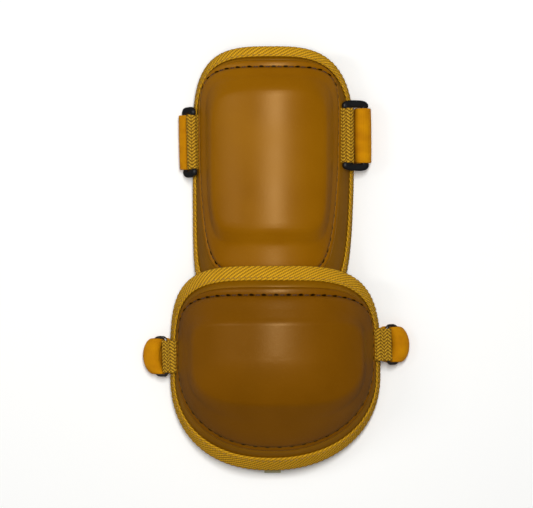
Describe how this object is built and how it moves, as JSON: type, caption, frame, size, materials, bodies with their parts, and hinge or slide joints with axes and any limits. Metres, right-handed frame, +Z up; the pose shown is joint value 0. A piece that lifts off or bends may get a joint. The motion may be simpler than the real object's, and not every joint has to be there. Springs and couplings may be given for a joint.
{
  "type": "baseball elbow guard",
  "caption": "Batter's elbow guard: padded arm plate and domed elbow cup in gold leather, with taped edges, elastic straps, plastic rings and D-rings.",
  "frame": {"origin": "middle of the underside of the whole guard, on the surface that it lies on", "axes": "+Z up out of the moulded faces, +Y from the elbow cup to the arm plate's free end, +X to the right seen from above"},
  "size_m": [0.1596, 0.255, 0.059],
  "materials": {
    "shell_leather": "smooth coated synthetic leather with a soft gloss over a moulded panel",
    "pad_leather": "matt coated cloth over foam",
    "binding_tape": "ribbed twill tape",
    "webbing": "herringbone woven webbing",
    "elastic": "smooth woven elastic",
    "black_plastic": "moulded acetal, satin",
    "dark_nickel": "black nickel plate on steel wire",
    "grey_tape": "plain woven tape"
  },
  "bodies": {
    "root": {"arm_shell": "shell_leather", "arm_pad": "pad_leather", "arm_binding": "binding_tape", "elbow_shell": "shell_leather", "elbow_pad": "pad_leather", "elbow_binding": "binding_tape", "arm_webbing_left": "webbing", "arm_webbing_right": "webbing", "elbow_webbing_left": "webbing", "elbow_webbing_right": "webbing", "arm_ring_left": "black_plastic", "arm_ring_right": "black_plastic", "elbow_dring_left": "dark_nickel", "elbow_dring_right": "dark_nickel", "arm_strap": "elastic", "elbow_strap": "elastic", "hinge_strip": "pad_leather", "hem_tab": "grey_tape"}
  },
  "joints": []
}
